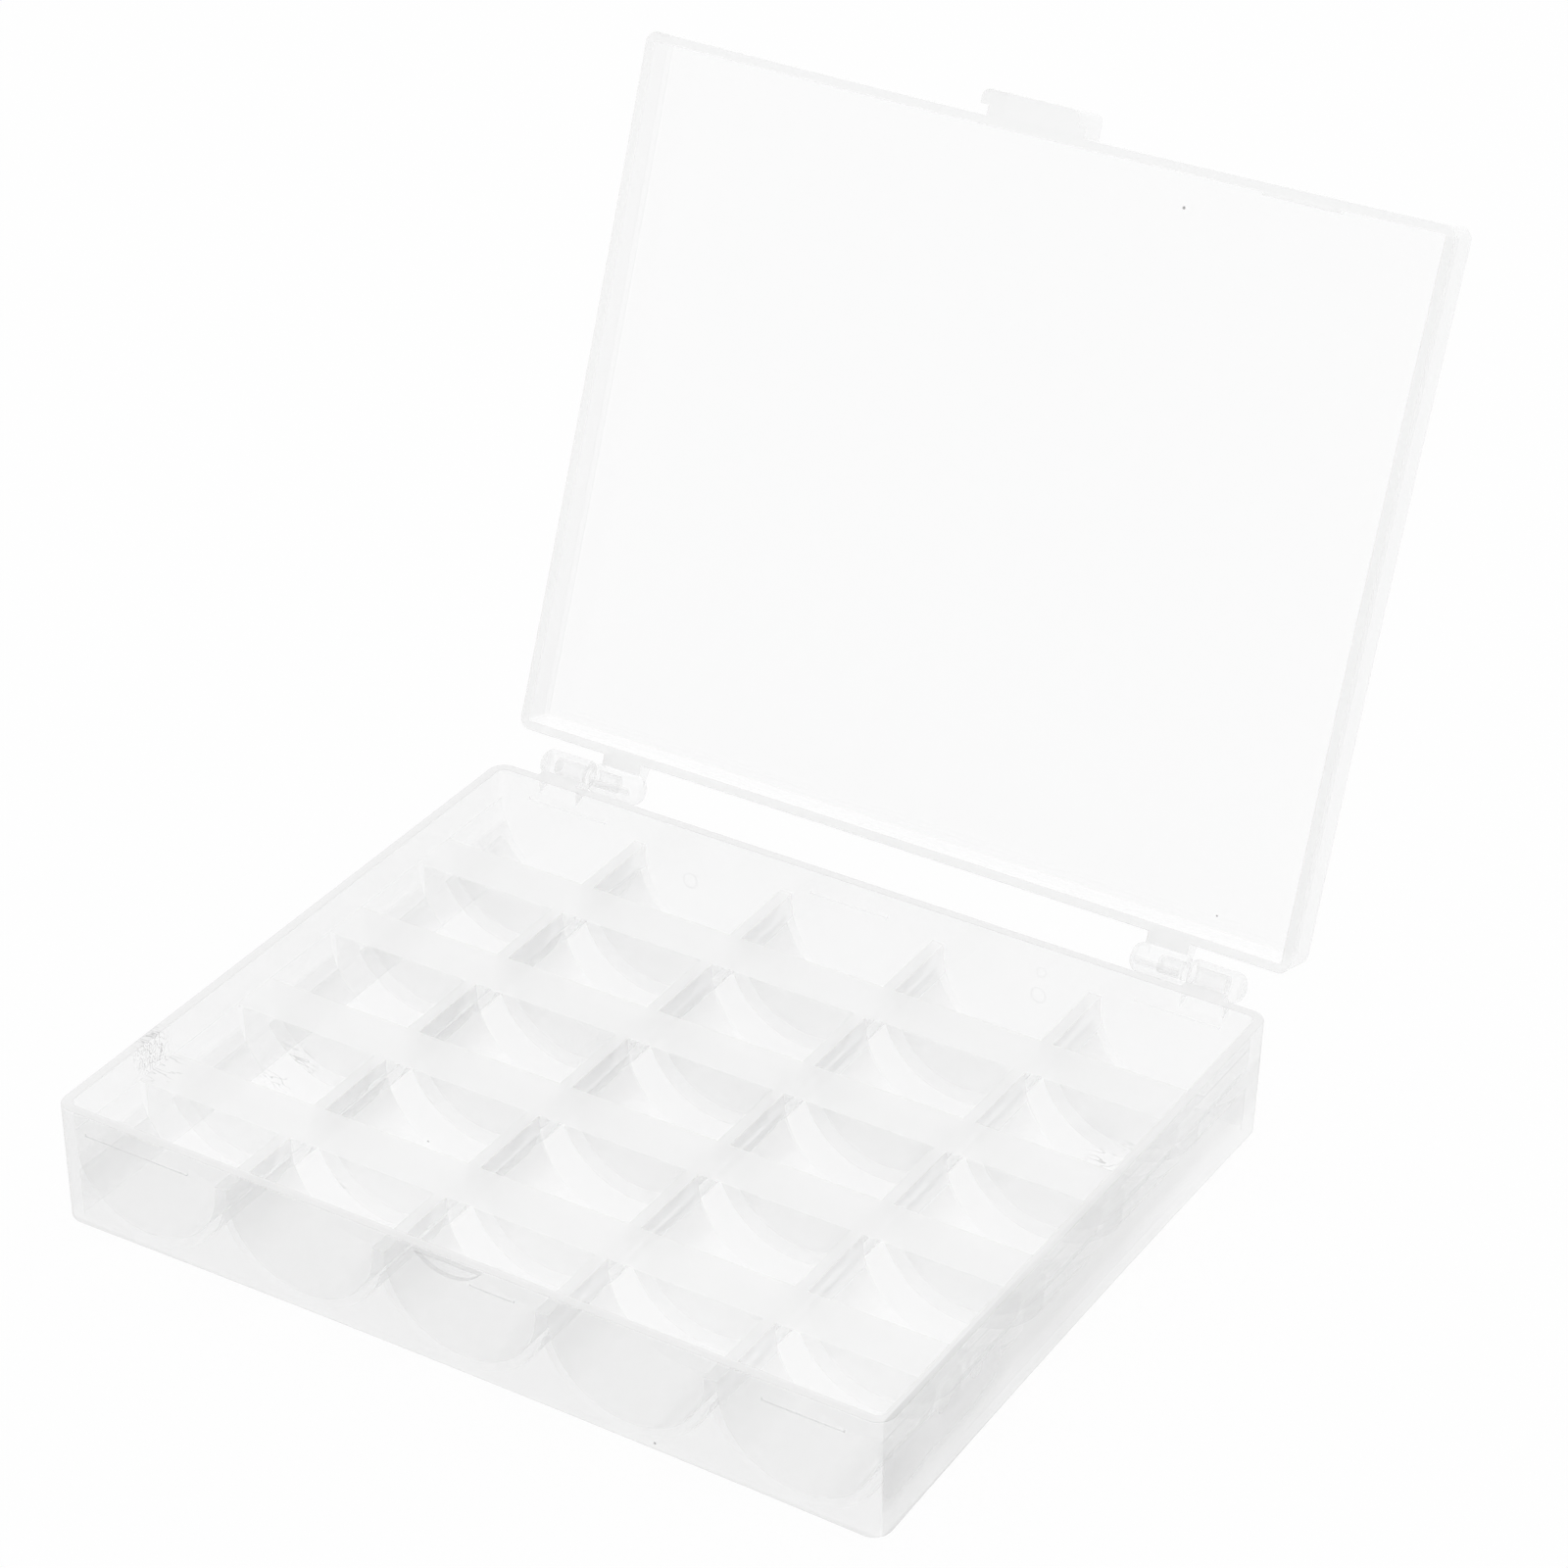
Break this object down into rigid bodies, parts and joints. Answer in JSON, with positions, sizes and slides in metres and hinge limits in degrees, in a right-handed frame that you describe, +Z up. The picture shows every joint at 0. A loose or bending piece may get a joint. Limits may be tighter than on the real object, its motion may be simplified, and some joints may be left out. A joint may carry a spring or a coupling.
{
  "type": "embroidery thread box",
  "caption": "Clear plastic storage box for sewing bobbins and embroidery thread: a shallow tray with a grid of round-bottomed wells, and a lid hinged at the back.",
  "frame": {"origin": "on the surface the box stands on, in the middle of the tray's footprint, where the middle well's bottom touches the surface", "axes": "+X along the hinge line to the right as seen from the front, +Y from the front catch to the hinges, +Z up"},
  "size_m": [0.12, 0.1447, 0.1174],
  "materials": {
    "tray_plastic": "clear, slightly frosted moulded plastic",
    "lid_plastic": "clear moulded plastic, nearly flat and smooth",
    "pin_plastic": "clear moulded plastic"
  },
  "bodies": {
    "tray": {"tray": "tray_plastic", "left_hinge_pin": "pin_plastic", "right_hinge_pin": "pin_plastic"},
    "lid": {"lid": "lid_plastic"}
  },
  "joints": [
    {"name": "lid_hinge", "type": "hinge", "parent": "tray", "child": "lid", "pos_m": [0, 0.05293, 0.0174], "axis": [-1, 0, 0], "range_deg": [-110.1, 69.9]}
  ]
}
